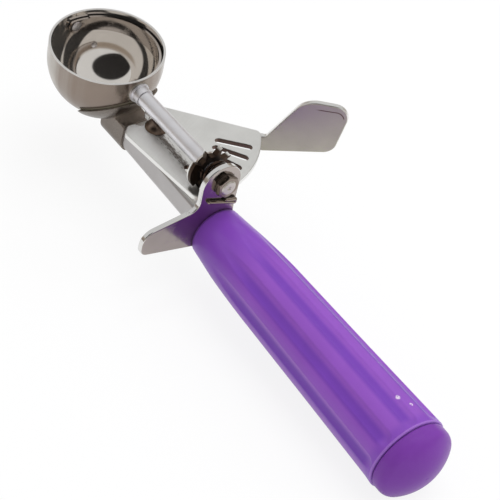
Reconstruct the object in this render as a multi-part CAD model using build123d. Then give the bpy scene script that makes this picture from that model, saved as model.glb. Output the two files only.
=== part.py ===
from build123d import *
from math import acos, asin, atan2, cos, degrees, hypot, radians, sin, sqrt, tan
import os

# A thumb-lever ice cream scoop. Pressing the lever turns a slotted fan about an
# upright rivet. The slots roll a toothed pinion, and the pinion's shaft swings a
# curved blade half a turn round the inside of the bowl.
#
# Millimetres. +X runs along the shaft to the handle, +Z out of the bowl's mouth,
# +Y to the thumb's side. Heights are written from the shaft's axis, and the last
# step lowers everything so that the origin is the centre of the bowl's mouth.

# Clearances
fit_gap = 0.02          # radial, between pieces fixed together
running_gap = 0.05      # radial, between a turning piece and its bearing
face_gap = 0.1          # between flat faces that slide past each other
blade_gap = 0.3         # between the blade and the bowl

# Bowl
bowl_radius = 20.8      # outside
bowl_wall = 0.8
rim_height = 5.2        # straight band above the shaft's axis

# Blade, at rest along the +Y wall
blade_thickness = 0.8
blade_width = 6.0
ear_height = 2.4        # the ear beside the pivot pin, cut lower than the strip
ear_length = 4.8

# Pivot pin at the bowl's front
pin_radius = 1.5
pin_head_radius = 2.0
pin_head_height = 0.6
pin_foot_height = 0.6   # peened end outside the bowl

# Shaft and what it carries
shaft_radius = 2.9
neck_radius = 2.1       # where it passes through the bushing
shaft_head_radius = 2.8  # peened over inside the bowl
shaft_head_height = 1.3
shaft_tail = 2.1        # beyond the guard's rear washer
shaft_end_bevel = 0.4
dimple_radius = 0.8     # lathe centre in the shaft's end
dimple_depth = 0.5
groove_radius = 2.3     # groove in front of the thrust washer
groove_width = 0.8
groove_space = 0.2      # from the groove to the thrust washer
bushing_radius = 3.35
bushing_length = 3.8
bushing_spigot_radius = 2.9
flare_radius = 3.9
flare_thickness = 0.6
thrust_washer_radius = 4.4
thrust_washer_thickness = 0.7
rear_washer_radius = 4.2
rear_washer_thickness = 0.4
nut_across_flats = 7.8
nut_thickness = 1.7
nut_bevel = 0.4

# Lever: a fan with slots, and a thumb tab folded down along its far side
pivot_x = 33.3
lever_reach = 37.1      # pivot to the fan's curved end
lever_thickness = 1.8
lever_rest_angle = 24.0
fan_half_width = 12.2   # at the pivot
fan_flare = 18.7        # degrees between the centreline and a side
fan_front = -8.3        # the front ears' tips, along the centreline
ear_side_front = -6.7
ear_tip_offset = 6.1
notch_front = -7.0
notch_offset = 3.6
notch_floor = -4.5
notch_floor_offset = 2.8
far_corner_radius = 2.5
near_corner_radius = 4.0
ear_corner_radius = 2.0
notch_corner_radius = 0.8
lever_edge_radius = 0.3

# Slots and pinion: equal pitch on both sides of the mesh
mesh_inset = 6.9        # from the fan's curved end in to the middle of the teeth
slot_count = 6
slot_step = 10.3        # degrees
first_slot_angle = -5.8  # the slot in mesh at rest, from the shaft's direction
lever_slot_width = 2.4
lever_slot_length = 13.3
lever_slot_inset = 2.9  # from the fan's curved end in to the slots' ends
teeth_round = 8         # teeth that would fill the whole circle
teeth_cut = 6           # teeth that are there
tooth_length = 2.0
addendum = 1.6
dedendum = 1.7
pitch_line_depth = 0.6  # from the fan's top face down to the pitch line
tooth_tip_width = 0.5
tooth_root_width = 2.0
blank_start = 146.0     # the toothless part, from +Y towards +Z
blank_end = 221.0
hub_radius = 4.0
hub_length = 1.0

# Thumb tab, in its own plane: distance along the fan's side, and height
tab_thickness = 2.0
tab_overhang = 0.3      # the tab's outer face beyond the fan's side
tab_drop = 0.9          # the flange's top edge below the fan's
tab_start = 22.0
tab_neck = 37.3
tab_shoulder = 48.0
tab_end = 65.1
tab_toe = 61.7
tab_bottom = -13.7
tab_top = 14.5
tab_shoulder_height = 13.2
tab_toe_height = -6.6
tab_neck_radius = 1.5
tab_shoulder_radius = 10.0
tab_tip_radius = 5.0
tab_toe_radius = 6.0
tab_heel_radius = 3.0
tab_edge_radius = 0.45

# Lever's rivet, washer and spacer
rivet_radius = 2.2
rivet_head_radius = 4.2
rivet_head_height = 2.6
rivet_depth = 4.5       # into the stem
lever_washer_radius = 5.0
lever_washer_thickness = 0.5
spacer_radius = 3.6

# Return spring
wire_radius = 0.7
coil_radius = 4.5       # to the wire's centre
coil_turns = 3
coil_space = 0.1        # from the coil's wire to the guard
stub_length = 1.2       # hooked into the pinion
tail_side = -6.1        # Y, where the wire goes through the guard
tail_space = 0.15       # from the tail down to the fan's top face
tail_end = (5.3, -9.9)  # Y and Z, at the end of the run across the guard
turn_start = (5.4, -8.45)   # the wire's end, turned back beside that run
turn_end = (1.0, -7.2)

# Guard plate
guard_space = 0.8       # from the fan's curved end
guard_thickness = 1.8
guard_lobe_radius = 8.1
guard_lobe_y = -1.3
guard_wing_reach = 32.0
guard_wing_top = -8.3
guard_wing_tip_top = -11.2
guard_wing_tip_bottom = -20.2
guard_waist = 6.2       # half-width below the lobe, on the +Y side
guard_waist_height = -11.5
guard_right_foot = 6.8
guard_bottom = -27.9
guard_right_bottom = -24.8
guard_corner_radius = 3.8
guard_upper_tip_radius = 5.5
guard_lower_tip_radius = 3.6
guard_foot_radius = 5.0
guard_edge_radius = 0.5

# Stem and handle share one axis, pitched down to the rear
grip_pitch = 2.85       # degrees
grip_drop = 22.5        # below the shaft, at the guard's back face
stem_half_width = 5.2
stem_top = 7.0          # above the stem's own axis
stem_corner_radius = 1.6
nose_space = 0.9        # from the back of the bowl to the centre of the rounded nose
tang_radius = 3.5
tang_space = 21.2       # from the tang's end to the grip's rear face

# Saddle: a cup under the bowl with a socket for the stem's nose
saddle_wall = 1.0
saddle_rear_height = -4.7
saddle_slope = 32.7     # degrees, down towards the front
saddle_front = 8.0
socket_length = 12.5
socket_rear_space = 1.7  # from the back of the bowl
socket_front_wall = 1.0
socket_rear_wall = 0.7

# Handle, with distances from the guard's back face along the grip's axis
grip_length = 109.2
grip_end_radius = 15.1
grip_edge = 0.6         # bevel beside the end cap
grip_outline = [(0, 9.8), (7, 10.6), (14, 11.45), (22, 12.15), (30, 12.65), (70, 13.8)]
flute_count = 9
flute_turn = 3.0        # degrees from the top, towards -Y
flute_radius = 6.5
flute_depth = 0.75
flute_lift = 0.15       # above the surface at the groove's front end
flute_start = 12.0
flute_end_space = 4.2   # from the grooves' ends to the grip's rear face

# End cap
cap_joint = 0.1
cap_edge = 0.6          # bevel beside the grip
cap_step = 0.5          # the cap's side lies this far inside the grip's rear edge
cap_shoulder_radius = 4.0
cap_dome_radius = 21.0
cap_length = 10.8       # beyond the grip's rear face
plug_radius = 9.5
plug_length = 10.0

# Worked-out sizes and stations
bowl_inside = bowl_radius - bowl_wall
blade_outside = bowl_inside - blade_gap
blade_inside = blade_outside - blade_thickness
bushing_end = bowl_radius + bushing_length
mesh_radius = lever_reach - mesh_inset
pitch_radius = mesh_radius * slot_step * teeth_round / 360
lever_top = pitch_line_depth - pitch_radius
lever_bottom = lever_top - lever_thickness
pinion_middle = pivot_x + mesh_radius
pinion_front = pinion_middle - tooth_length / 2
pinion_back = pinion_middle + tooth_length / 2
thrust_front = pinion_front - hub_length - thrust_washer_thickness
groove_back = thrust_front - groove_space
guard_front = pivot_x + lever_reach + guard_space
guard_back = guard_front + guard_thickness
stem_nose = bowl_radius + nose_space - guard_back
socket_rear = bowl_radius + socket_rear_space - guard_back
socket_front = socket_rear - socket_length
tang_length = grip_length - tang_space
flute_end = grip_length - flute_end_space
cap_end = grip_length + cap_length
cap_side_radius = grip_end_radius - cap_step
tail_start = (tail_side, lever_top + wire_radius + tail_space)
washer_back = guard_back + face_gap + rear_washer_thickness
grip_axis = Pos(guard_back, 0, -grip_drop) * Rot(0, grip_pitch, 0)
lever_axis = Pos(pivot_x, 0, 0) * Rot(0, 0, lever_rest_angle)
tab_face = fan_half_width * cos(radians(fan_flare)) + tab_overhang
far = 200.0             # longer than any piece is wide


def rod(radius, start, end):
    """A cylinder about the X axis between two stations."""
    return extrude(Plane.YZ.offset(start) * Circle(radius), amount=end - start)


def post(radius, bottom, top):
    """An upright cylinder through the lever's pivot."""
    disc = Pos(pivot_x, 0, bottom) * Circle(radius)
    return extrude(disc, amount=top - bottom)


def block_from(station):
    """Everything beyond a station along X."""
    return Pos(station, 0, 0) * Box(far, far, far, align=(Align.MIN, Align.CENTER, Align.CENTER))


def block_until(station):
    """Everything before a station along X."""
    return Pos(station, 0, 0) * Box(far, far, far, align=(Align.MAX, Align.CENTER, Align.CENTER))


def rounded(corners):
    """A face through (x, y, radius) corners, each rounded by its own radius."""
    face = make_face(Polyline(*[(x, y) for x, y, radius in corners], close=True))
    for x, y, radius in corners:
        if radius > 0:
            corner = face.vertices().sort_by_distance((x, y, 0))[0]
            face = fillet(corner, radius)
    return face


def domed_head(radius, height, seat):
    """A low dome about the X axis, its flat side at the seat and its crown towards -X."""
    crown = (radius ** 2 + height ** 2) / (2 * height)
    return Pos(seat - height + crown, 0, 0) * Sphere(crown) & rod(radius, seat - height, seat)


def head_seat(radius):
    """Station where a flat head of this radius just clears the blade's inner face."""
    return sqrt(blade_inside ** 2 - radius ** 2) - face_gap


def ball(radius):
    """A sphere about the bowl's centre, its seam on the side that nothing crosses."""
    return Rot(0, 0, -90) * Sphere(radius)


def bowl_form(radius):
    """A solid half ball with a straight band above the shaft's axis."""
    return ball(radius) - block_above(0) + extrude(Circle(radius), amount=rim_height)


def bowl():
    outside = bowl_form(bowl_radius)
    inside = bowl_form(bowl_inside)
    shaft_hole = rod(bushing_spigot_radius + fit_gap, 0, bowl_radius)
    pin_hole = rod(pin_radius + fit_gap, -bowl_radius, 0)
    return outside - inside - shaft_hole - pin_hole


def block_above(height):
    """Everything above a height."""
    return Pos(0, 0, height) * Box(far, far, far, align=(Align.CENTER, Align.CENTER, Align.MIN))


def scraper_blade():
    """A strip of a ball's shell, with an eye round the shaft and one round the pin."""
    half = blade_width / 2
    middle = (Align.CENTER, Align.MIN, Align.CENTER)
    strip = Box(far, far, blade_width, align=middle) + rod(half, -far / 2, far / 2)
    above_ear = Pos(0, 0, ear_height) * Box(far, 2 * ear_length, far,
                                            align=(Align.MAX, Align.CENTER, Align.MIN))
    shell = ball(blade_outside) - ball(blade_inside)
    blade = shell & (strip - above_ear)
    return blade - rod(neck_radius + fit_gap, 0, far) - rod(pin_radius + running_gap, -far, 0)


def bowl_pivot_pin():
    seat = head_seat(pin_head_radius)
    head = Rot(0, 0, 180) * domed_head(pin_head_radius, pin_head_height, seat)
    foot = rod(pin_head_radius, -bowl_radius - pin_foot_height, -bowl_inside)
    foot -= bowl_form(bowl_radius + fit_gap)
    return head + rod(pin_radius, -bowl_radius - fit_gap, -seat) + foot


def bowl_bushing():
    collar = rod(bushing_radius, bowl_inside, bushing_end)
    collar += rod(flare_radius, bowl_inside, bowl_radius + flare_thickness)
    collar -= bowl_form(bowl_radius + fit_gap)
    spigot = rod(bushing_spigot_radius, bowl_inside / 2, bowl_radius + flare_thickness)
    spigot -= bowl_form(bowl_inside)
    return collar + spigot - rod(neck_radius + running_gap, 0, bushing_end)


def blade_shaft():
    """The shaft, its neck and head inside the bowl, and its bevelled rear end."""
    seat = head_seat(shaft_head_radius)
    end = washer_back + shaft_tail
    shaft = rod(shaft_radius, bushing_end + face_gap, end)
    shaft = chamfer(shaft.faces().sort_by(Axis.X)[-1].edges(), shaft_end_bevel)
    shaft -= rod(shaft_radius + 1, groove_back - groove_width, groove_back) - rod(groove_radius, 0, far)
    shaft -= domed_head(dimple_radius, dimple_depth, end)
    shaft += rod(neck_radius, seat, bushing_end + face_gap)
    return shaft + domed_head(shaft_head_radius, shaft_head_height, seat)


def thrust_washer():
    back = thrust_front + thrust_washer_thickness
    return rod(thrust_washer_radius, thrust_front, back) - rod(shaft_radius + fit_gap, 0, far)


def tooth():
    """One tapered tooth along the first axis of the section plane."""
    root = pitch_radius - dedendum
    tip = pitch_radius + addendum
    inner = root - 1
    points = [(inner, -tooth_root_width / 2), (root, -tooth_root_width / 2), (tip, -tooth_tip_width / 2),
              (tip, tooth_tip_width / 2), (root, tooth_root_width / 2), (inner, tooth_root_width / 2)]
    return make_face(Polyline(*points, close=True))


def mesh_tooth_angle():
    """Angle of the tooth in mesh at rest, from +Y towards +Z."""
    return 270 + first_slot_angle * mesh_radius / pitch_radius


def blank_sector():
    """The toothless part of the pinion, as high as the teeth."""
    rim = CenterArc((0, 0), pitch_radius + addendum, blank_start, blank_end - blank_start)
    return make_face(rim + Polyline(rim @ 1, (0, 0), rim @ 0))


def pinion():
    """A thin gear with teeth on the part that meets the fan, and a hub in front."""
    star = Circle(pitch_radius - dedendum) + blank_sector()
    for number in range(teeth_cut):
        star += Rot(0, 0, mesh_tooth_angle() + number * 360 / teeth_round) * tooth()
    gear = extrude(Plane.YZ.offset(pinion_front) * star, amount=tooth_length)
    gear += rod(hub_radius, pinion_front - hub_length, pinion_front)
    angle = radians(coil_end_angle())
    hook_place = Pos(0, coil_radius * cos(angle), coil_radius * sin(angle))
    gear -= hook_place * rod(wire_radius + running_gap, pinion_back - stub_length - face_gap, pinion_back)
    return gear - rod(shaft_radius + fit_gap, 0, far)


def coil_end_angle():
    """Angle on the coil whose tangent runs straight to the hole in the guard."""
    y, z = tail_start
    return degrees(atan2(z, y) - acos(coil_radius / hypot(y, z))) % 360


def wire(start, end):
    """A straight run of wire with a flat start and a rounded end."""
    run = Vector(*end) - Vector(*start)
    line = extrude(Plane(origin=start, z_dir=run) * Circle(wire_radius), amount=run.length)
    return line + Pos(*end) * Sphere(wire_radius)


def return_spring():
    """A coil round the shaft, hooked into the pinion, and a tail turned back behind the guard."""
    angle = coil_end_angle()
    first = pinion_back + wire_radius + face_gap
    last = guard_front - wire_radius - coil_space
    y, z = coil_radius * cos(radians(angle)), coil_radius * sin(radians(angle))
    path = Helix(pitch=(last - first) / coil_turns, height=last - first, radius=coil_radius)
    section = Plane(origin=path @ 0, z_dir=path % 0) * Circle(wire_radius)
    coil = Plane.YZ.offset(first).location * Rot(0, 0, angle) * sweep(section, path=path, is_frenet=True)
    hook = Pos(0, y, z) * rod(wire_radius, pinion_back - stub_length, first - wire_radius - fit_gap)
    behind = guard_back + wire_radius + fit_gap
    across = (Vector(last, *tail_start) - Vector(last, y, z)).normalized()
    tail = wire(Vector(last, y, z) + across * face_gap, (last, *tail_start))
    tail += wire((last, *tail_start), (behind, *tail_start))
    tail += wire((behind, *tail_start), (behind, *tail_end))
    tail += wire((behind, *tail_end), (behind, *turn_start))
    tail += wire((behind, *turn_start), (behind, *turn_end))
    return Part() + [coil, hook, tail]


def guard_outline():
    """A round lobe for the shaft's bearing, with a wing for the finger to one side."""
    left = guard_lobe_y - guard_lobe_radius
    right = guard_lobe_y + guard_lobe_radius
    plate = rounded([
        (left, 0, 0),
        (left, guard_wing_top, guard_corner_radius),
        (-guard_wing_reach, guard_wing_tip_top, guard_upper_tip_radius),
        (-guard_wing_reach, guard_wing_tip_bottom, guard_lower_tip_radius),
        (0, guard_bottom, guard_foot_radius),
        (guard_right_foot, guard_right_bottom, guard_foot_radius),
        (guard_waist, guard_waist_height, guard_foot_radius),
        (right, 0, 0),
    ])
    return plate + Pos(guard_lobe_y, 0) * Circle(guard_lobe_radius)


def guard_plate():
    plate = extrude(Plane.YZ.offset(guard_front) * guard_outline(), amount=guard_thickness)
    plate = fillet(plate.faces().sort_by(Axis.X)[-1].edges(), guard_edge_radius)
    plate -= rod(shaft_radius + running_gap, guard_front, guard_back)
    plate -= Pos(0, *tail_start) * rod(wire_radius + running_gap, guard_front, guard_back)
    return plate - grip_axis * rod(tang_radius + fit_gap, -far / 2, far / 2)


def rear_washer():
    front = guard_back + face_gap
    return rod(rear_washer_radius, front, washer_back) - rod(shaft_radius + fit_gap, 0, far)


def shaft_nut():
    hexagon = RegularPolygon(nut_across_flats / 2, 6, major_radius=False, rotation=30)
    nut = extrude(Plane.YZ.offset(washer_back) * hexagon, amount=nut_thickness)
    back = washer_back + nut_thickness
    corners = rod(nut_across_flats / sqrt(3), washer_back, back)
    nut &= chamfer(corners.faces().sort_by(Axis.X)[-1].edges(), nut_bevel)
    return nut - rod(shaft_radius + fit_gap, 0, far)


def stem_section(wall):
    """The stem's U-shaped section, grown all round by a wall."""
    half = stem_half_width + wall
    top = stem_top + wall
    upper = Pos(0, top / 2) * Rectangle(2 * half, top)
    upper = fillet(upper.vertices().group_by(Axis.Y)[-1], stem_corner_radius)
    return upper + Circle(half)


def nosed_bar(wall):
    """The stem's bar with its rounded nose, along its own axis, grown by a wall."""
    half = stem_half_width + wall
    bar = extrude(Plane.YZ.offset(stem_nose - half) * stem_section(wall), amount=far)
    straight = Rectangle(far, 2 * half, align=(Align.MIN, Align.CENTER))
    plan = Pos(stem_nose, 0) * (Circle(half) + straight)
    return bar & extrude(plan, amount=far / 2, both=True)


def stem():
    """The bar from the saddle to the guard, and its tang inside the handle."""
    bar = grip_axis * nosed_bar(0)
    bar -= block_from(guard_front)
    bar -= ball(bowl_radius + saddle_wall + 2 * fit_gap)
    tang = grip_axis * rod(tang_radius, -2 * guard_thickness, tang_length)
    return bar + tang - post(rivet_radius + fit_gap, spacer_foot() - rivet_depth, 0)


def spacer_foot():
    """Height of the stem's top where the rivet enters it."""
    back = guard_back - pivot_x
    return -grip_drop + back * tan(radians(grip_pitch)) + stem_top / cos(radians(grip_pitch))


def saddle():
    """A cup under the bowl's rear, and a socket that narrows on to the stem's nose."""
    inside = bowl_radius + fit_gap
    front = Plane.YZ.offset(socket_front) * stem_section(socket_front_wall)
    rear = Plane.YZ.offset(socket_rear) * stem_section(socket_rear_wall)
    form = ball(inside + saddle_wall) + grip_axis * loft([front, rear]) - ball(inside)
    form -= Pos(bowl_radius, 0, saddle_rear_height) * Rot(0, -saddle_slope, 0) * block_above(0)
    form -= block_until(saddle_front)
    return form - (grip_axis * nosed_bar(fit_gap) - ball(inside + saddle_wall))


def lever_spacer():
    top = lever_bottom - face_gap - lever_washer_thickness
    sleeve = post(spacer_radius, spacer_foot() - spacer_radius, top)
    sleeve -= post(rivet_radius + fit_gap, -far, top)
    return sleeve - grip_axis * nosed_bar(0)


def lever_washer():
    top = lever_bottom - face_gap
    bottom = top - lever_washer_thickness
    return post(lever_washer_radius, bottom, top) - post(rivet_radius + fit_gap, bottom, top)


def pivot_rivet():
    seat = lever_top + face_gap
    upright = Pos(pivot_x, 0, 0) * Rot(0, 90, 0)
    head = upright * domed_head(rivet_head_radius, rivet_head_height, -seat)
    return head + post(rivet_radius, spacer_foot() - rivet_depth, seat)


def fan_outline():
    """The fan in its own plane, its centreline along X and the pivot at the origin."""
    spread = tan(radians(fan_flare))
    side = fan_half_width + ear_side_front * spread
    beyond = 1.2 * lever_reach
    edge = fan_half_width + beyond * spread
    half = [(notch_floor, notch_floor_offset, notch_corner_radius),
            (notch_front, notch_offset, notch_corner_radius),
            (fan_front, ear_tip_offset, ear_corner_radius),
            (ear_side_front, side, ear_corner_radius),
            (beyond, edge, 0)]
    mirrored = [(x, -y, radius) for x, y, radius in reversed(half)]
    fan = rounded(half + mirrored) & Circle(lever_reach)
    corners = fan.vertices().sort_by(Axis.X)[-2:].sort_by(Axis.Y)
    near, far_side = corners[0], corners[-1]
    near_point = near.center()
    fan = fillet(far_side, far_corner_radius)
    return fillet(fan.vertices().sort_by_distance(near_point)[0], near_corner_radius)


def lever_slots():
    """The slots, turned to their places about the pivot."""
    middle = lever_reach - lever_slot_inset - lever_slot_length / 2
    slots = Sketch()
    for number in range(slot_count):
        angle = first_slot_angle + number * slot_step - lever_rest_angle
        slots += Rot(0, 0, angle) * Pos(middle, 0) * SlotOverall(lever_slot_length, lever_slot_width)
    return slots


def thumb_tab():
    """The folded-down flange and the paddle that it runs out into."""
    paddle = rounded([
        (tab_start, lever_top - tab_drop, 0),
        (tab_neck, lever_top - tab_drop, tab_neck_radius),
        (tab_shoulder, tab_shoulder_height, tab_shoulder_radius),
        (tab_end, tab_top, tab_tip_radius),
        (tab_toe, tab_toe_height, tab_toe_radius),
        (tab_neck, tab_bottom, 0),
        (tab_start, tab_bottom, tab_heel_radius),
    ])
    plate = extrude(Plane.XZ.offset(-tab_face) * paddle, amount=tab_thickness)
    faces = plate.faces().sort_by(Axis.Y)
    plate = fillet(faces[0].edges() + faces[-1].edges(), tab_edge_radius)
    return Rot(0, 0, fan_flare) * plate


def lever():
    fan = extrude(Pos(0, 0, lever_bottom) * (fan_outline() - lever_slots()), amount=lever_thickness)
    fan = fillet(fan.faces().sort_by(Axis.Z)[-1].edges(), lever_edge_radius)
    return lever_axis * (fan + thumb_tab()) - post(rivet_radius + running_gap, lever_bottom, lever_top)


def flute():
    """A long groove, shallow to nothing at the front and round at the rear."""
    front = Vector(flute_start, 0, grip_radius(flute_start) + flute_radius + flute_lift)
    rear = Vector(flute_end, 0, grip_radius(flute_end) + flute_radius - flute_depth)
    length = (rear - front).length
    shoulder = flute_radius * sqrt(0.5)
    bulge = ThreePointArc((length, flute_radius), (length + shoulder, shoulder), (length + flute_radius, 0))
    half = bulge + Polyline(bulge @ 1, (0, 0), (0, flute_radius), bulge @ 0)
    groove = revolve(make_face(half), axis=Axis.X)
    return Plane(origin=front, x_dir=rear - front, z_dir=(0, 1, 0)).location * groove


def grip_radius(station):
    """The grip's radius at a station, along the straight lines of its outline."""
    known = grip_outline + [(grip_length, grip_end_radius)]
    for (start, low), (end, high) in zip(known, known[1:]):
        if station <= end:
            return low + (high - low) * (station - start) / (end - start)


def handle_grip():
    """The grip is turned from short cones, then fluted, bored and cut to the guard."""
    inside_guard = -2 * guard_thickness
    points = [(inside_guard, 0), (inside_guard, grip_radius(inside_guard))] + grip_outline[1:]
    points += [(grip_length - grip_edge, grip_end_radius), (grip_length, grip_end_radius - grip_edge),
               (grip_length, 0)]
    grip = revolve(make_face(Polyline(*points, close=True)), axis=Axis.X)
    grip -= grip_axis.inverse() * block_until(guard_back)
    grip -= rod(tang_radius + fit_gap, -far, tang_length + face_gap)
    grip -= rod(plug_radius + fit_gap, grip_length - plug_length - face_gap, far)
    for number in range(flute_count):
        grip -= Rot(flute_turn + number * 360 / flute_count, 0, 0) * flute()
    return grip_axis * grip


def end_cap():
    """A domed cap with a plug that fills the grip's rear bore."""
    start = grip_length + cap_joint
    centre = cap_end - cap_dome_radius
    rise = asin(cap_side_radius / cap_dome_radius)
    corner = (centre + cap_dome_radius * cos(rise), cap_side_radius)
    halfway = (centre + cap_dome_radius * cos(rise / 2), cap_dome_radius * sin(rise / 2))
    dome = ThreePointArc(corner, halfway, (cap_end, 0))
    side = Polyline((cap_end, 0), (start, 0), (start, cap_side_radius - cap_edge),
                    (start + cap_edge, cap_side_radius), corner)
    profile = make_face(dome + side)
    shoulder = profile.vertices().sort_by_distance((*corner, 0))[0]
    cap = revolve(fillet(shoulder, cap_shoulder_radius), axis=Axis.X)
    return grip_axis * (cap + rod(plug_radius, grip_length - plug_length, start))


NODES = {
    "bowl": bowl, "bowl_bushing": bowl_bushing, "bowl_pivot_pin": bowl_pivot_pin,
    "saddle": saddle, "stem": stem, "guard_plate": guard_plate,
    "lever_spacer": lever_spacer, "lever_washer": lever_washer, "pivot_rivet": pivot_rivet,
    "handle_grip": handle_grip, "end_cap": end_cap,
    "scraper_blade": scraper_blade, "blade_shaft": blade_shaft, "thrust_washer": thrust_washer,
    "pinion": pinion, "rear_washer": rear_washer, "shaft_nut": shaft_nut,
    "return_spring": return_spring, "lever": lever,
}

os.makedirs("parts", exist_ok=True)
for name, build in NODES.items():
    export_step(Pos(0, 0, -rim_height) * build(), "parts/" + name + ".step")
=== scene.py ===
# %% [markdown]
# # A thumb-lever ice cream scoop, dressed in Blender
#
# The scoop's solids come from a CAD model, packed with its joints. This script loads
# them as a frame that never changes, gives every part a finish of its own, and adds
# new surfaces where a solid's plain form isn't enough: the moulded grip and the
# spring's bent wire. Everything is in metres. The origin is the centre of the bowl's
# mouth, +X runs to the handle's end, +Z points out of the mouth, and +Y is the
# thumb's side.

# %% Load the frame
from math import cos, hypot, radians, sin, tan

import bmesh
import bpy
import numpy as np
from mathutils import Matrix, Vector


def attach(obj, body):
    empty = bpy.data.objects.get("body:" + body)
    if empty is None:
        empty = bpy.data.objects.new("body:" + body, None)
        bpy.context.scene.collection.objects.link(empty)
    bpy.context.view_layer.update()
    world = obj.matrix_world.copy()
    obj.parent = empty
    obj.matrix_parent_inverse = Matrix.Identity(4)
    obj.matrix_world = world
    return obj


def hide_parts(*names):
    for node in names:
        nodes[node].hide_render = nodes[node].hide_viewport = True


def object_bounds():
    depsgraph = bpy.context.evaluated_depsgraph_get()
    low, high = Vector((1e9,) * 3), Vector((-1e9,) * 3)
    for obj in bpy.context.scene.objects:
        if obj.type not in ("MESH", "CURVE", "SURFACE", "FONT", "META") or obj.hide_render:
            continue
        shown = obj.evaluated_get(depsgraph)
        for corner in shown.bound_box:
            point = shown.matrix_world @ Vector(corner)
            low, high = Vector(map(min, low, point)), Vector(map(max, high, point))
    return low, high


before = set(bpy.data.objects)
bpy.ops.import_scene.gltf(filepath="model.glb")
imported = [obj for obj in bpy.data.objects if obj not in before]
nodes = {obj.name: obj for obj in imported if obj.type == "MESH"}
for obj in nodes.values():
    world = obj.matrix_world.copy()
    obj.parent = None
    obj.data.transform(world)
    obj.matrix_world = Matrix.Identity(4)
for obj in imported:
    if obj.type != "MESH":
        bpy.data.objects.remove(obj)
cad_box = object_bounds()

# %% [markdown]
# ## Sizes shared with the solids
#
# A surface that stands in for a solid has to lie where that solid lies, so these are
# the same driving sizes, in millimetres from the shaft's axis. One function turns them
# into metres and into the frame's own height.

# %% Driving sizes, in millimetres
MM = 0.001
RIM_HEIGHT = 5.2  # from the shaft's axis up to the bowl's mouth
GUARD_FRONT, GUARD_BACK = 71.2, 73.0
GRIP_PITCH = radians(2.85)  # how far the grip's axis falls away from the shaft's
GRIP_DROP = 22.5  # from the shaft's axis down to the grip's, at the guard
GRIP_LENGTH = 109.2
# The grip's turned outline: how far along its axis, and the radius there.
GRIP_OUTLINE = [(-6, 8.95), (0, 9.8), (7, 10.6), (14, 11.45), (22, 12.15), (30, 12.65),
                (70, 13.8), (GRIP_LENGTH + 6, 15.3)]
FLUTE_COUNT, FLUTE_TURN = 9, radians(3.0)  # the turn is from the top to the first flute
FLUTE_START, FLUTE_END = 12.0, 105.0


def from_shaft(points):
    """Points in millimetres from the shaft's axis become metres in the frame:
    p * 0.001, with z lowered by the rim's height first."""
    points = np.array(points, float)
    points[..., 2] -= RIM_HEIGHT
    return points * MM


def from_grip(points):
    """Points along the grip's own axis are pitched down about Y, then moved to the guard:
    x' = back + x cos p + z sin p, z' = -drop - x sin p + z cos p."""
    x, y, z = np.moveaxis(np.asarray(points, float), -1, 0)
    cos_p, sin_p = np.cos(GRIP_PITCH), np.sin(GRIP_PITCH)
    across, height = GUARD_BACK + x * cos_p + z * sin_p, -GRIP_DROP - x * sin_p + z * cos_p
    return from_shaft(np.stack([across, y, height], -1))


print("grip", GRIP_LENGTH, "mm long with", FLUTE_COUNT, "flutes")

# %% [markdown]
# ## The camera
#
# The scoop is seen from above its left rear with a long lens, so its lines hardly
# converge. Three unit vectors, the camera's right, its up and its back, are the
# columns of its matrix.

# %% Camera
camera_data = bpy.data.cameras.new("camera")
camera_data.lens = 172.8
camera_data.sensor_width = 36.0
camera_data.clip_start, camera_data.clip_end = 0.01, 50.0
camera = bpy.data.objects.new("camera", camera_data)
bpy.context.scene.collection.objects.link(camera)
right = Vector((0.5834, 0.7966, 0.1581))
up = Vector((-0.6298, 0.3209, 0.7074))
back = Vector((0.5128, -0.5123, 0.6889))
turn = Matrix((right, up, back)).transposed().to_4x4()
camera.matrix_world = Matrix.Translation((0.50837, -0.41643, 0.53977)) @ turn
bpy.context.scene.camera = camera
bpy.context.scene.view_settings.view_transform = "Standard"
print("camera", round(camera.matrix_world.translation.length, 3), "m from the bowl's mouth")

# %% [markdown]
# ## Small helpers for node trees
#
# A material is a tree of nodes. `put` adds one node and fills its sockets: a plain
# value is set on the socket, and another node's output is linked to it. The others
# stand for common sums.


# %% Node helpers
def feed(tree, socket, value):
    """Links another node's output to a socket, or sets a plain value on the socket."""
    if isinstance(value, bpy.types.NodeSocket):
        tree.links.new(value, socket)
    else:
        socket.default_value = value


def put(tree, kind, sockets=None, **settings):
    """Adds a node of that kind; settings are its own properties and sockets its inputs."""
    node = tree.nodes.new(kind)
    for name, value in settings.items():
        setattr(node, name, value)
    for name, value in (sockets or {}).items():
        feed(tree, node.inputs[name], value)
    return node


def calculate(tree, operation, *values):
    """A Math node of one to three values, and its result."""
    return put(tree, "ShaderNodeMath", dict(enumerate(values)), operation=operation).outputs[0]


def product(tree, first, *others):
    """All the values multiplied together."""
    for value in others:
        first = calculate(tree, "MULTIPLY", first, value)
    return first


def less(tree, value, other):
    """The first value less the other."""
    return calculate(tree, "SUBTRACT", value, other)


def added(tree, value, share, start):
    """A share of a value, added to a start: value * share + start."""
    return calculate(tree, "MULTIPLY_ADD", value, share, start)


def hypotenuse(tree, first, second):
    """The length of a step with two sides: sqrt(a * a + b * b)."""
    squares = (calculate(tree, "MULTIPLY", side, side) for side in (first, second))
    return calculate(tree, "SQRT", calculate(tree, "ADD", *squares))


def spread(tree, value, low, high, to_low=0.0, to_high=1.0):
    """A value between low and high, spread smoothly between two new ends."""
    sockets = {"Value": value, "From Min": low, "From Max": high,
               "To Min": to_low, "To Max": to_high}
    node = put(tree, "ShaderNodeMapRange", sockets, interpolation_type="SMOOTHSTEP")
    return node.outputs["Result"]


def ramp(tree, value, low, high, to_low=0.0, to_high=1.0):
    """The same, for a length whose ends are given in millimetres."""
    return spread(tree, value, low * MM, high * MM, to_low, to_high)


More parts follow.
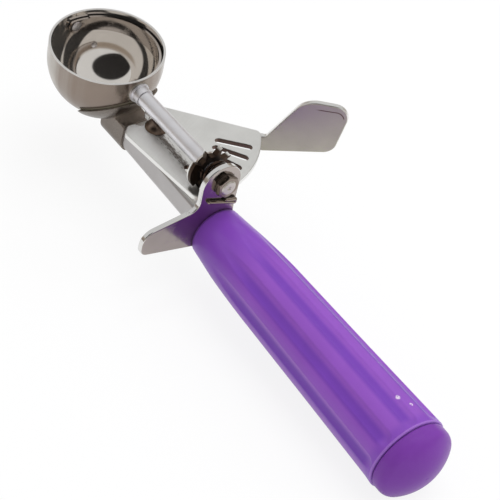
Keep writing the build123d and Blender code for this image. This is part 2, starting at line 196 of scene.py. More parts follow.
def mixed(tree, factor, first, second):
    """A colour between two colours. Of the Mix node's sockets, 0 is the factor and 6 and 7
    are its colours."""
    sockets = {0: factor, 6: first, 7: second}
    return put(tree, "ShaderNodeMix", sockets, data_type="RGBA").outputs[2]


def noise(tree, vector, scale, detail=3.0, roughness=0.5):
    """Smooth noise, from 0 to 1, with that many waves to the metre."""
    sockets = {"Vector": vector, "Scale": scale, "Detail": detail, "Roughness": roughness}
    return put(tree, "ShaderNodeTexNoise", sockets).outputs["Fac"]


print("node helpers: put, calculate, product, spread, ramp, mixed, noise")

# %% [markdown]
# An effect that several finishes share is a node group, a tree of its own with named
# inputs and outputs. `group` makes one and `use` places it in a material. Colours are
# written as a display shows them.


# %% Groups and colours
def group(name, inputs, outputs):
    """A new node group, with its input and output sockets. Inputs are (name, kind, value)."""
    tree = bpy.data.node_groups.new(name, "ShaderNodeTree")
    for label, kind, value in inputs:
        socket = tree.interface.new_socket(label, in_out="INPUT", socket_type="NodeSocket" + kind)
        if value is not None:
            socket.default_value = value
    for label, kind in outputs:
        tree.interface.new_socket(label, in_out="OUTPUT", socket_type="NodeSocket" + kind)
    return (tree, tree.nodes.new("NodeGroupInput").outputs,
            tree.nodes.new("NodeGroupOutput").inputs)


def use(tree, effect, **sockets):
    """A group placed in a material, with that material's own values."""
    node = tree.nodes.new("ShaderNodeGroup")
    node.node_tree = effect
    for name, value in sockets.items():
        feed(tree, node.inputs[name.replace("_", " ")], value)
    return node.outputs


def colour(red, green, blue):
    """A display colour, 0 to 255, as the linear light that shaders work in:
    ((c + 0.055) / 1.055) ** 2.4 above the dark toe."""
    shares = np.array([red, green, blue]) / 255
    light = np.where(shares > 0.04045, ((shares + 0.055) / 1.055) ** 2.4, shares / 12.92)
    return (*light.tolist(), 1.0)


print("middle grey is", round(colour(128, 128, 128)[0], 3), "in linear light")

# %% [markdown]
# ## Effects that the finishes share
#
# Steel is never evenly smooth. Rolling and brushing leave a grain along one direction,
# handling leaves soft smudges, and use leaves thin scratches that run any way. Each is
# a noise with its own stretch, and one group puts out a roughness, a height for the
# bump and a shade that the colour is multiplied by. A scratch lies where a stretched
# noise passes its middle value.

# %% Group: steel finish
SCRATCH_SETS = [(0.5, 14.0), (2.2, 11.0), (3.9, 16.0)]  # the angle, and the stretch
SMUDGE_WAVES, SCRATCH_WAVES, PATCH_WAVES = 90.0, 160.0, 220.0
SCRATCH_WIDTH, SCRATCH_ROUGHNESS, SCRATCH_HEIGHT, SMUDGE_SHADE = 0.012, 0.25, -1.5, -0.05
tree, given, result = group(
    "steel finish",
    [("Vector", "Vector", None), ("Grain Vector", "Vector", None), ("Roughness", "Float", 0.3),
     ("Grain", "Float", 0.05), ("Smudges", "Float", 0.1), ("Scratches", "Float", 0.3)],
    [("Roughness", "Float"), ("Height", "Float"), ("Shade", "Float")])
grain = noise(tree, given["Grain Vector"], 1.0, 4.0, 0.65)
smudge = spread(tree, noise(tree, given["Vector"], SMUDGE_WAVES, 4.0, 0.6), 0.35, 0.7)
scratch = 0.0
for number, (angle, stretch) in enumerate(SCRATCH_SETS):
    turned = put(tree, "ShaderNodeMapping", {
        "Vector": given["Vector"], "Location": (0.013 * number, 0.029, 0.007),
        "Rotation": (0.3 * angle, 0.5 * angle, angle), "Scale": (1.0, stretch, stretch)})
    line = noise(tree, turned.outputs[0], SCRATCH_WAVES, 2.0, 0.5)
    off_middle = calculate(tree, "ABSOLUTE", less(tree, line, 0.5))
    scratch = calculate(tree, "MAXIMUM", spread(tree, off_middle, 0.0, SCRATCH_WIDTH, 1.0, 0.0),
                        scratch)
patchy = spread(tree, noise(tree, given["Vector"], PATCH_WAVES, 2.0), 0.5, 0.75)
scratch = product(tree, scratch, patchy, given["Scratches"])
rough = added(tree, less(tree, grain, 0.5), given["Grain"], given["Roughness"])
rough = added(tree, smudge, given["Smudges"], rough)
rough = added(tree, scratch, SCRATCH_ROUGHNESS, rough)
height = added(tree, scratch, SCRATCH_HEIGHT, product(tree, grain, given["Grain"]))
shade = added(tree, grain, given["Grain"], 1.0)
shade = added(tree, smudge, SMUDGE_SHADE, shade)
for value, socket in zip((rough, height, shade), result):
    feed(tree, socket, value)
steel_finish = tree
print("steel finish group,", len(tree.nodes), "nodes")

# %% [markdown]
# Old grease and dust settle where the scoop can't be wiped. An Ambient Occlusion node
# in the material measures how open a point is, from 0 to 1. Where that falls short of
# the reach, the point is dirty, and noise breaks the border up.

# %% Group: settled grime
SPECKLE_WAVES, SPECKLE_SHARE, GRIME_EDGE = 900.0, 0.7, 0.28
tree, given, result = group(
    "settled grime",
    [("Vector", "Vector", None), ("Openness", "Float", 1.0), ("Reach", "Float", 0.6),
     ("Amount", "Float", 0.5)],
    [("Mask", "Float")])
speckle = less(tree, noise(tree, given["Vector"], SPECKLE_WAVES, 4.0, 0.65), 0.5)
closed = less(tree, given["Reach"], given["Openness"])
broken = added(tree, speckle, SPECKLE_SHARE, closed)
mask = product(tree, spread(tree, broken, 0.0, GRIME_EDGE), given["Amount"])
feed(tree, result[0], mask)
settled_grime = tree
print("settled grime group,", len(tree.nodes), "nodes")

# %% [markdown]
# Moulded plastic has a faint orange peel, slightly uneven gloss where hands have rubbed
# it, and a colour that drifts a little. One group makes all three.

# %% Group: moulded skin
PEEL_WAVES, RIPPLE_WAVES, RUB_WAVES, FLECK_WAVES = 520.0, 95.0, 60.0, 2600.0
RUB_ROUGHNESS, FLECK_ROUGHNESS, RIPPLE_HEIGHT, RUB_SHADE = 0.09, 0.1, 2.2, 0.07
tree, given, result = group(
    "moulded skin",
    [("Vector", "Vector", None), ("Roughness", "Float", 0.3)],
    [("Roughness", "Float"), ("Height", "Float"), ("Shade", "Float")])
peel = noise(tree, given["Vector"], PEEL_WAVES, 2.0, 0.4)
ripple = noise(tree, given["Vector"], RIPPLE_WAVES, 2.0, 0.4)
rub = spread(tree, noise(tree, given["Vector"], RUB_WAVES, 5.0, 0.6), 0.3, 0.75)
fleck = spread(tree, noise(tree, given["Vector"], FLECK_WAVES, 1.0), 0.66, 0.74)
rough = added(tree, rub, RUB_ROUGHNESS, given["Roughness"])
rough = added(tree, fleck, FLECK_ROUGHNESS, rough)
height = added(tree, ripple, RIPPLE_HEIGHT, peel)
shade = added(tree, rub, RUB_SHADE, 0.95)
for value, socket in zip((rough, height, shade), result):
    feed(tree, socket, value)
moulded_skin = tree
print("moulded skin group,", len(tree.nodes), "nodes")

# %% [markdown]
# ## Finishes
#
# `start_finish` opens a material, reads Object coordinates and gives back the
# Principled BSDF that everything feeds. Object coordinates are metres in the frame, so
# a scale of 1000 means one wave to the millimetre on every part. A zone is a mask over
# part of a surface, worked out from those coordinates: `along` measures how far a point
# lies in a direction, and `turned_away` which way the surface faces.

# %% Material helpers
# Towards the handle's end, towards the thumb's side, and up.
ALONG, ASIDE, UP = (1.0, 0.0, 0.0), (0.0, 1.0, 0.0), (0.0, 0.0, 1.0)


def start_finish(name):
    """A material with its tree, its Principled shader and its Object coordinates."""
    print("finish:", name)
    material = bpy.data.materials.new(name)
    material.use_nodes = True
    tree = material.node_tree
    shader = tree.nodes["Principled BSDF"]
    place = tree.nodes.new("ShaderNodeTexCoord").outputs["Object"]
    return material, tree, shader, place


def bump(tree, shader, height, strength, distance):
    """Feeds a height to the shader's normal, as deep as distance, in metres."""
    sockets = {"Height": height, "Strength": strength, "Distance": distance}
    feed(tree, shader.inputs["Normal"], put(tree, "ShaderNodeBump", sockets).outputs["Normal"])


def scaled(tree, vector, scale, rotation=(0.0, 0.0, 0.0)):
    """The vector turned, then stretched by a scale for each axis."""
    turned = put(tree, "ShaderNodeMapping", {"Vector": vector, "Rotation": rotation}).outputs[0]
    return put(tree, "ShaderNodeMapping", {"Vector": turned, "Scale": scale}).outputs[0]


def tinted(tree, shader, tint, shade):
    """A colour multiplied by a shade feeds the base colour, and is given back."""
    plain = tint if isinstance(tint, bpy.types.NodeSocket) else tint[:3]
    shaded = put(tree, "ShaderNodeVectorMath", {0: plain, "Scale": shade}, operation="SCALE")
    feed(tree, shader.inputs["Base Color"], shaded.outputs[0])
    return shaded.outputs[0]


def along(tree, place, direction, start=(0.0, 0.0, 0.0)):
    """How far a point lies along a direction, from a start: (p - s) . d."""
    moved = put(tree, "ShaderNodeVectorMath", {0: place, 1: start}, operation="SUBTRACT")
    measured = put(tree, "ShaderNodeVectorMath", {0: moved.outputs[0], 1: direction},
                   operation="DOT_PRODUCT")
    return measured.outputs["Value"]


def turned_away(tree, direction, limit=0.92):
    """1 where the surface, by its own normal, doesn't face along a direction or against it."""
    normal = tree.nodes.new("ShaderNodeTexCoord").outputs["Normal"]
    facing = calculate(tree, "ABSOLUTE", along(tree, normal, direction))
    return spread(tree, facing, limit - 0.1, limit, 1.0, 0.0)


print("finishes share", len(bpy.data.node_groups), "groups")

# %% [markdown]
# Most parts are steel, and differ in tint, gloss, the grain's direction and how much
# dirt they hold. One function makes them all.

# %% Steel
GRIME_ROUGHNESS, STEEL_BUMP_DEPTH = 0.35, 0.00004


def steel(name, tint, roughness, grain_scale, grain=0.08, smudges=0.08, scratches=0.3,
          rotation=(0.0, 0.0, 0.0), grime=0.0, grime_tint=colour(52, 38, 28), reach=0.55,
          gap=0.002, zones=()):
    """Grain_scale is waves to the metre along each axis of the turned coordinates. Grime is
    how much dirt lies in the corners, reach how open a place can be and still hold it, and
    gap how near a wall has to be, in metres. A zone is a mask's function and a tint."""
    material, tree, shader, place = start_finish(name)
    for masked, zone_tint in zones:
        tint = mixed(tree, masked(tree, place), tint, zone_tint)
    made = use(tree, steel_finish, Vector=place,
               Grain_Vector=scaled(tree, place, grain_scale, rotation),
               Roughness=roughness, Grain=grain, Smudges=smudges, Scratches=scratches)
    base = tinted(tree, shader, tint, made["Shade"])
    shader.inputs["Metallic"].default_value = 1.0
    rough = made["Roughness"]
    if grime > 0:
        openness = put(tree, "ShaderNodeAmbientOcclusion", {"Distance": gap}, samples=6)
        dirt = use(tree, settled_grime, Vector=place, Openness=openness.outputs["AO"],
                   Reach=reach, Amount=grime)["Mask"]
        feed(tree, shader.inputs["Base Color"], mixed(tree, dirt, base, grime_tint))
        rough = added(tree, dirt, GRIME_ROUGHNESS, rough)
        feed(tree, shader.inputs["Metallic"], spread(tree, dirt, 0.0, 1.0, 1.0, 0.25))
    feed(tree, shader.inputs["Roughness"], rough)
    bump(tree, shader, made["Height"], 0.35, STEEL_BUMP_DEPTH)
    return material


ALONG_X, ALONG_Y = (60.0, 2500.0, 2500.0), (2500.0, 60.0, 2500.0)
blade_steel = steel("blade steel", colour(190, 182, 176), 0.1, ALONG_X, grain=0.05, smudges=0.05)

# %% [markdown]
# ### Polished steel for the bowl
#
# The bowl is spun and buffed, so its inside is close to a mirror and its outside a
# shade softer, with faint rings about the upright axis. The distance from the ball's
# centre tells the two sides apart. The outside is painted a warmer, darker tone as
# painted reflection and shade, darker on the handle's side. The lip round the mouth is
# painted bright, a painted highlight. Just above the saddle's rim, where the corner is
# closed, an olive tone is painted as painted shade.

# %% Bowl finish
INNER_SKIN, OUTER_SKIN = 20.2, 20.6
LIP_DEPTHS, CORNER_SHADE_GAP = (-0.25, -0.05), 2.0
RING_WAVES = 2200.0
OUTSIDE_SHADE_TURN, OUTSIDE_SHADE_STREAKS, STREAK_SHARE = radians(28.0), 3.2, 0.7
OUTSIDE_ROUGHNESS, LIP_ROUGHNESS = 0.17, 0.2


def bowl_finish():
    """The masks: outside, by sqrt(x^2 + y^2 + min(z, 0)^2) from the ball's centre; turn,
    (1 + cos (a + t)) / 2 about the upright axis, with streaks, for the outside's painted
    shade; lip, by the depth below the mouth, for a painted highlight; and corner_shade,
    painted shade where the outside is closed in."""
    material, tree, shader, place = start_finish("buffed bowl steel")
    centred = put(tree, "ShaderNodeMapping", {"Vector": place, "Location": (0, 0, RIM_HEIGHT * MM)})
    axes = put(tree, "ShaderNodeSeparateXYZ", {0: centred.outputs[0]}).outputs
    across = hypotenuse(tree, axes["X"], axes["Y"])
    distance = hypotenuse(tree, across, calculate(tree, "MINIMUM", axes["Z"], 0.0))
    outside = ramp(tree, distance, INNER_SKIN, OUTER_SKIN)
    angle = calculate(tree, "ARCTAN2", axes["Y"], axes["X"])
    rings = put(tree, "ShaderNodeCombineXYZ", {
        "X": product(tree, across, RING_WAVES), "Y": product(tree, axes["Z"], RING_WAVES),
        "Z": product(tree, angle, 2.0)}).outputs[0]
    made = use(tree, steel_finish, Vector=place, Grain_Vector=rings, Roughness=0.06, Grain=0.02,
               Smudges=0.035, Scratches=0.1)
    # Painted reflection and shade on the outside, darker on the handle's side.
    towards = calculate(tree, "COSINE", calculate(tree, "ADD", angle, OUTSIDE_SHADE_TURN))
    turn = added(tree, towards, 0.5, 0.5)
    round_about = put(tree, "ShaderNodeCombineXYZ", {"X": product(tree, angle, OUTSIDE_SHADE_STREAKS)})
    streaks = less(tree, noise(tree, round_about.outputs[0], 1.0, 3.0, 0.6), 0.5)
    turn = added(tree, streaks, STREAK_SHARE, turn)
    painted_outside_shade = mixed(tree, spread(tree, turn, 0.5, 0.98), colour(180, 175, 168),
                    colour(141, 128, 118))
    tint = mixed(tree, outside, colour(228, 223, 217), painted_outside_shade)
    # The lip is painted bright, a painted highlight.
    lip = ramp(tree, along(tree, place, UP), *LIP_DEPTHS)
    tint = mixed(tree, lip, tint, colour(226, 224, 221))
    # Painted shade: an olive tone where the corner above the saddle's rim is closed in.
    openness = put(tree, "ShaderNodeAmbientOcclusion", {"Distance": CORNER_SHADE_GAP * MM}, samples=6)
    corner_shade = product(tree, spread(tree, openness.outputs["AO"], 0.55, 0.9, 1.0, 0.0), outside)
    tint = mixed(tree, corner_shade, tint, colour(150, 143, 126))
    tinted(tree, shader, tint, made["Shade"])
    feed(tree, shader.inputs["Metallic"], spread(tree, corner_shade, 0.0, 1.0, 0.96, 0.2))
    softer = added(tree, outside, OUTSIDE_ROUGHNESS, made["Roughness"])
    feed(tree, shader.inputs["Roughness"], added(tree, lip, LIP_ROUGHNESS, softer))
    bump(tree, shader, product(tree, made["Height"], outside), 0.12, 0.00003)
    return material


bowl_steel = bowl_finish()

# %% [markdown]
# ### Violet plastic for the grip and cap
#
# The grip is a thermoplastic with a little light scattered under its skin. The gloss
# comes from a thin coat over a softer base, as moulded plastic has.


# %% Plastic finish
def violet_plastic(name, tint, gloss, zones=()):
    """Gloss is the specular level, where 0.5 is plain plastic, and the coat follows it."""
    material, tree, shader, place = start_finish(name)
    made = use(tree, moulded_skin, Vector=place, Roughness=0.3)
    for masked, zone_tint in zones:
        tint = mixed(tree, masked(tree, place), tint, zone_tint)
    tinted(tree, shader, tint, made["Shade"])
    feed(tree, shader.inputs["Roughness"], made["Roughness"])
    constants = {"IOR": 1.5, "Specular IOR Level": gloss, "Coat Weight": 0.3 * gloss,
                 "Coat Roughness": 0.14, "Subsurface Weight": 0.08,
                 "Subsurface Radius": (0.9, 0.5, 1.0), "Subsurface Scale": 0.0015}
    for socket, value in constants.items():
        shader.inputs[socket].default_value = value
    bump(tree, shader, made["Height"], 0.3, 0.00006)
    return material


cap_plastic = violet_plastic("violet cap plastic", colour(118, 58, 158), 0.16)

# %% [markdown]
# The ridges between the flutes are painted paler as painted light, and the hollows
# darker as painted shade, which leans towards their lower walls. The hollows' middles come
# from the angle a about the grip's axis, where cos 9 (a - t) is 1. The rear edge is
# whitened as a painted highlight, and two small round marks near it are whitened too.

# %% Zones of the grip
RIDGE_LIGHT, HOLLOW_SHADE, EDGE_HIGHLIGHT, PALE_MARK_TINT = (colour(141, 79, 186), colour(113, 57, 171),
                                  colour(172, 128, 204), colour(222, 206, 230))
GRIP_START = (GUARD_BACK * MM, 0.0, (-GRIP_DROP - RIM_HEIGHT) * MM)
GRIP_ALONG = (cos(GRIP_PITCH), 0.0, -sin(GRIP_PITCH))
GRIP_OVER = (sin(GRIP_PITCH), 0.0, cos(GRIP_PITCH))
PALE_MARKS = [((170.1, 1.7, -17.7), 1.1), ((174.3, 4.1, -18.4), 0.8)]  # the middle, and the radius


def fluted_zone(tree, place):
    """The stretch that the flutes cover, from where they deepen to their round ends."""
    station = along(tree, place, GRIP_ALONG, GRIP_START)
    return product(tree, ramp(tree, station, FLUTE_START, FLUTE_START + 22),
                   ramp(tree, station, FLUTE_END - 1, FLUTE_END + 2.5, 1.0, 0.0))


def hollow_shade_zone(tree, place):
    """The flutes' hollows, painted darker as painted shade, 5 degrees towards their lower walls, by
    the cosine above.
    """
    angle = calculate(tree, "ARCTAN2", along(tree, place, (0.0, -1.0, 0.0), GRIP_START),
                      along(tree, place, GRIP_OVER, GRIP_START))
    from_middle = less(tree, angle, FLUTE_TURN + radians(5.0))
    wave = calculate(tree, "COSINE", product(tree, from_middle, float(FLUTE_COUNT)))
    return product(tree, spread(tree, wave, -0.3, 0.9), fluted_zone(tree, place))


def rear_edge_highlight_zone(tree, place):
    """The last 0.6 mm of the grip, a little less than half whitened as a painted highlight."""
    station = along(tree, place, GRIP_ALONG, GRIP_START)
    return ramp(tree, station, GRIP_LENGTH - 0.75, GRIP_LENGTH - 0.6, 0.0, 0.45)


def pale_mark_zone(tree, place):
    """Small round marks, each by its distance from a middle, broken by noise."""
    marks = 0.0
    for middle, radius in PALE_MARKS:
        sockets = {0: place, 1: tuple(value * MM for value in middle)}
        apart = put(tree, "ShaderNodeVectorMath", sockets, operation="DISTANCE").outputs["Value"]
        mark = ramp(tree, apart, radius * 0.6, radius, 1.0, 0.0)
        marks = calculate(tree, "MAXIMUM", mark, marks)
    return product(tree, marks, spread(tree, noise(tree, place, 1500.0, 3.0), 0.35, 0.5))


# Painted light on the ridges, painted shade in the hollows, a painted highlight on the rear edge.
grip_plastic = violet_plastic("violet moulded grip", colour(129, 70, 180), 0.32,
                              [(fluted_zone, RIDGE_LIGHT), (hollow_shade_zone, HOLLOW_SHADE),
                               (rear_edge_highlight_zone, EDGE_HIGHLIGHT), (pale_mark_zone, PALE_MARK_TINT)])

# %% [markdown]
# ### The small steel parts
#
# Each part keeps the mesh of its solid and only gets a finish. The nut and the rear
# washer sit in old oil, and the rivet's head is tarnished brown. The shaft's sawn end,
# behind the guard, is painted a little darker than its length, as painted shade.


# %% Dress the small parts
def dress(material, *names):
    """Puts a finish on the CAD parts' own material slots."""
    print(material.name, "goes on", *names)
    for name in names:
        mesh_object = nodes[name]
        if not mesh_object.material_slots:
            mesh_object.data.materials.append(material)
        for slot in mesh_object.material_slots:
            slot.material = material


def shaft_end_shade_zone(tree, place):
    """The sawn end behind the guard, painted a little darker and warmer as painted shade."""
    return ramp(tree, along(tree, place, ALONG), 74.0, 75.4)


ALONG_SHAFT, ANY_WAY = (2500.0, 900.0, 900.0), (900.0, 900.0, 900.0)
light_steel, bright_steel = colour(232, 232, 229), colour(238, 237, 235)
dress(bowl_steel, "bowl")
dress(cap_plastic, "handle_grip", "end_cap")
dress(blade_steel, "scraper_blade")
dress(steel("shaft steel", colour(238, 237, 240), 0.4, ALONG_SHAFT, grain=0.06, smudges=0.05,
            scratches=0.2, grime=0.7, reach=0.5,
            zones=[(shaft_end_shade_zone, colour(204, 200, 190))]),
      "blade_shaft", "bowl_bushing", "bowl_pivot_pin")
dress(steel("washer steel", colour(206, 198, 190), 0.2, ANY_WAY, grime=0.9, reach=0.7),
      "thrust_washer", "lever_washer", "lever_spacer")
dress(steel("oily nut steel", colour(140, 128, 118), 0.16, ANY_WAY, grime=0.95, reach=0.8),
      "rear_washer", "shaft_nut")
dress(steel("rivet steel", colour(130, 114, 102), 0.3, ANY_WAY, grain=0.05, smudges=0.1,
            scratches=0.5, grime=0.9, reach=0.65), "pivot_rivet")

# %% [markdown]
# ### The lever's thumb paddle
#
# The paddle's inner face is buffed, and is painted darker and warmer than the fan as
# painted shade. It is bent from the same sheet, so it is a zone, known by how far a
# point lies along the fan's side and out from it. Its rounded rim gets a brighter tint,
# a painted highlight; its own normal tells it from the face.

# %% Paddle zones
PIVOT_X, REST_ANGLE, FAN_FLARE = 33.3, radians(24.0), radians(18.7)
PADDLE_NECK, PADDLE_FACE = 35.0, (9.2, 9.7)
CREASE_MIDDLE, CREASE_RADIUS, CREASE_FALL = (60.0, 8.9), 2.7, 0.12
CREASE_EDGE, CREASE_RISE, CREASE_START = (0.1, 0.35), 1.2, (-8.0, -5.5)
pivot = (PIVOT_X * MM, 0.0, 0.0)
paddle_angle = REST_ANGLE + FAN_FLARE
paddle_along = (cos(paddle_angle), sin(paddle_angle), 0.0)
paddle_out = (-sin(paddle_angle), cos(paddle_angle), 0.0)


def paddle_zone(tree, place):
    """The paddle's upright faces: past the neck along the fan's side, and out from it."""
    beyond = ramp(tree, along(tree, place, paddle_along, pivot), PADDLE_NECK - 0.3,
                  PADDLE_NECK + 0.3)
    out = ramp(tree, along(tree, place, paddle_out, pivot), *PADDLE_FACE)
    return product(tree, beyond, out, turned_away(tree, UP, 0.9))


def paddle_rim_highlight_zone(tree, place):
    """The paddle's edge, which faces neither in nor out, painted brighter as a painted highlight.
    """
    return product(tree, paddle_zone(tree, place), turned_away(tree, paddle_out))


def paddle_crease_shade_zone(tree, place):
    """A thin painted shade line inside the upper outline, where the lip rolls back. Round
    the corner's middle it keeps to a radius, sqrt(ahead^2 + above^2), and before it the
    mark runs almost level, where above + 0.12 of the way back is that radius."""
    ahead = less(tree, along(tree, place, paddle_along, pivot), CREASE_MIDDLE[0] * MM)
    above = along(tree, place, UP, (0, 0, (CREASE_MIDDLE[1] - RIM_HEIGHT) * MM))
    reach = hypotenuse(tree, calculate(tree, "MAXIMUM", ahead, 0.0), above)
    reach = added(tree, calculate(tree, "MINIMUM", ahead, 0.0), -CREASE_FALL, reach)
    off_line = calculate(tree, "ABSOLUTE", less(tree, reach, CREASE_RADIUS * MM))
    return product(tree, ramp(tree, off_line, *CREASE_EDGE, 1.0, 0.0),
                   ramp(tree, above, 0.0, CREASE_RISE), ramp(tree, ahead, *CREASE_START),
                   paddle_zone(tree, place))


print("paddle begins", PADDLE_NECK, "mm from the pivot")

# %% [markdown]
# ### The lever's fan
#
# The slots' walls are darkened, partly by grease from the pinion and partly as painted
# shade in the slots. Beside the shaft the fan has a scratched dark streak, partly grease
# shed by the shaft and partly the shaft's painted reflection and shade. Both are masks
# too: the walls by how far they are from the pivot, and the streak by how far a point is
# from a line.

# %% Fan zones, and the lever's finish
FAN_HALF_WIDTH, FAN_MARGIN, SLOT_INNER, SLOT_OUTER = 12.2, (1.5, 2.0), 20.9, 34.2
STREAK_START, STREAK_RUN, STREAK_FALL = (39.0, -1.5), 18.0, -0.8
STREAK_WANDER, STREAK_HALF_WIDTH = 7.0, 1.9
streak_length = hypot(STREAK_RUN, STREAK_FALL)


def slot_wall_shade_and_grease_zone(tree, place):
    """Upright walls between the slots' ends, by sqrt(ahead^2 + aside^2) from the pivot,
    and away from the fan's sides, which lie at the half width + ahead tan f. Their dark
    tint is grease and painted shade."""
    cos_rest, sin_rest = cos(REST_ANGLE), sin(REST_ANGLE)
    ahead = along(tree, place, (cos_rest, sin_rest, 0.0), pivot)
    aside = calculate(tree, "ABSOLUTE", along(tree, place, (-sin_rest, cos_rest, 0.0), pivot))
    reach = hypotenuse(tree, ahead, aside)
    side = added(tree, ahead, tan(FAN_FLARE), FAN_HALF_WIDTH * MM)
    room = less(tree, side, aside)
    return product(tree, ramp(tree, reach, SLOT_INNER - 0.8, SLOT_INNER - 0.4),
                   ramp(tree, reach, SLOT_OUTER + 0.4, SLOT_OUTER + 0.8, 1.0, 0.0),
                   ramp(tree, room, *FAN_MARGIN),
                   turned_away(tree, UP, 0.6))


def shaft_reflection_and_grease_zone(tree, place):
    """A band beside the line from the streak's start to its end, broken by fine noise. Its
    dark tint is grease and the shaft's painted reflection and shade.
    """
    start = (STREAK_START[0] * MM, STREAK_START[1] * MM, 0.0)
    run, fall = STREAK_RUN / streak_length, STREAK_FALL / streak_length
    aside = along(tree, place, (-fall, run, 0.0), start)
    ahead = along(tree, place, (run, fall, 0.0), start)
    wander = noise(tree, scaled(tree, place, (1.0, 2.5, 1.0)), 520.0, 5.0, 0.75)
    wander = less(tree, wander, 0.5)
    aside = added(tree, wander, STREAK_WANDER * MM, aside)
    band = ramp(tree, calculate(tree, "ABSOLUTE", aside), 0.1, STREAK_HALF_WIDTH, 0.85, 0.0)
    return product(tree, band, ramp(tree, ahead, -7, -2),
                   ramp(tree, ahead, streak_length, streak_length + 4, 1.0, 0.0))


dress(steel("lever steel", light_steel, 0.34, ALONG_Y, grain=0.1, smudges=0.07,
            scratches=0.4, rotation=(0.0, 0.0, -REST_ANGLE), grime=0.5, reach=0.45,
            # The paddle's face is painted shade; its crease is a painted shade line, its rim a
            # painted highlight.
            zones=[(paddle_zone, colour(181, 178, 162)),
                   (paddle_crease_shade_zone, colour(112, 96, 86)), (paddle_rim_highlight_zone, bright_steel),
                   # Slot walls: grease and painted shade. Streak: grease and the shaft's painted
                   # reflection and shade.
                   (slot_wall_shade_and_grease_zone, colour(108, 90, 82)), (shaft_reflection_and_grease_zone, colour(74, 58, 48))]),
      "lever")

# %% [markdown]
# ### The stem, saddle, guard and pinion
#
# The stem's upright sides are painted darker than its top, as painted shade. The guard is
# polished almost to a mirror, and its rim is painted paler, a painted highlight. The
# pinion's teeth are rubbed bright at their tips on the thumb's side, with a painted
# highlight along their front edges, and everything below them is black. The saddle's
# closed corners are painted paler than its steel, as painted light that lifts their shade.

# %% Stem, saddle, guard and pinion finishes
TOOTH_TIP_RADII, PINION_FRONT_EDGE = (7.2, 8.2), (62.8, 63.3)


def upright_shade_zone(tree, place):
    """Sides that stand upright, painted darker than the top as painted shade."""
    return turned_away(tree, UP, 0.97)


def guard_edge_highlight_zone(tree, place):
    """The guard's edge, which faces neither forwards nor back, painted paler as a painted
    highlight.
    """
    return turned_away(tree, ALONG, 0.9)


def tooth_wear_and_highlight_zone(tree, place):
    """Where sqrt(above^2 + aside^2) from the shaft's axis passes the height that the lever
    rubs: a painted highlight on the teeth's front edges, and wear all along the teeth on
    the thumb's side."""
    above = along(tree, place, UP, (0, 0, -RIM_HEIGHT * MM))
    aside = along(tree, place, ASIDE)
    tips = ramp(tree, hypotenuse(tree, above, aside), *TOOTH_TIP_RADII)
    front = ramp(tree, along(tree, place, ALONG), *PINION_FRONT_EDGE, 1.0, 0.0)
    where = calculate(tree, "MAXIMUM", front, ramp(tree, aside, 0.0, 0.5))
    return product(tree, tips, turned_away(tree, ALONG, 0.7), where)


# The upright sides are painted darker, as painted shade.
dress(steel("stem steel", colour(243, 241, 238), 0.3, ALONG_X, grain=0.07, smudges=0.1,
            scratches=0.4, rotation=(0.0, -GRIP_PITCH, 0.0), grime=0.8, reach=0.42,
            gap=0.006, zones=[(upright_shade_zone, colour(180, 177, 176))]), "stem")
# The saddle's closed corners are painted paler than its steel, as painted light that lifts their
# shade.
dress(steel("saddle steel", colour(124, 116, 109), 0.24, ALONG_Y, grain=0.05, smudges=0.1,
            scratches=0.4, grime=0.95, grime_tint=colour(148, 136, 124), reach=0.75,
            gap=0.007), "saddle")
# The guard's rim is painted paler, a painted highlight.
dress(steel("guard steel", colour(172, 163, 157), 0.1, (2500.0, 300.0, 300.0), grain=0.04,
            smudges=0.06, scratches=0.5, grime=0.6,
            zones=[(guard_edge_highlight_zone, colour(222, 221, 219))]), "guard_plate")
# The teeth's front edges are painted paler, a painted highlight; the thumb's side is wear.
dress(steel("oiled pinion steel", colour(70, 56, 46), 0.34, (1800.0, 1800.0, 1800.0),
            grain=0.3, smudges=0.2, scratches=0.5, grime=1.0,
            grime_tint=colour(24, 15, 11), reach=0.85,
            zones=[(tooth_wear_and_highlight_zone, light_steel)]), "pinion")

# %% [markdown]
# ## Surfaces from grids
#
# A new piece is a grid of points, with rows along one parameter and columns round the
# other, and its quads are the grid's cells. If the enclosed volume, the sum of
# p0 . (p1 x p2) / 6 over the triangles, comes out negative, the faces point inwards
# and their order is turned round.


# %% Grid to mesh
def grid_quads(rows, columns):
    """Corner indices of every cell, with the last column joined to the first."""
    index = np.arange(rows * columns).reshape(rows, columns)
    following = np.roll(index, -1, axis=1)
    corners = [index[:-1], following[:-1], following[1:], index[1:]]
    return np.stack(corners, -1).reshape(-1, 4)


def volume_of(points, quads):
    """Enclosed volume by the divergence theorem, each quad as two triangles."""
    triangles = np.concatenate([quads[:, [0, 1, 2]], quads[:, [0, 2, 3]]])
    a, b, c = (points[triangles[:, corner]] for corner in range(3))
    return float(np.einsum("ij,ij->i", a, np.cross(b, c)).sum() / 6)


def grid_piece(name, points, material, body):
    """A closed piece from a grid whose first and last rows shrink to points."""
    rows, columns, _ = points.shape
    flat = points.reshape(-1, 3)
    quads = grid_quads(rows, columns)
    volume = volume_of(flat, quads)
    if volume < 0:
        quads = quads[:, ::-1]
    mesh = bpy.data.meshes.new(name)
    mesh.from_pydata(flat.tolist(), [], quads.tolist())
    joined = bmesh.new()
    joined.from_mesh(mesh)
    bmesh.ops.remove_doubles(joined, verts=joined.verts, dist=1e-7)
    joined.to_mesh(mesh)
    joined.free()
    mesh.shade_smooth()
    mesh.materials.append(material)
    piece = bpy.data.objects.new(name, mesh)
    bpy.context.scene.collection.objects.link(piece)
    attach(piece, body)
    print(name, len(mesh.polygons), "faces,", round(abs(volume) * 1e6, 2), "cubic centimetres")
    return piece


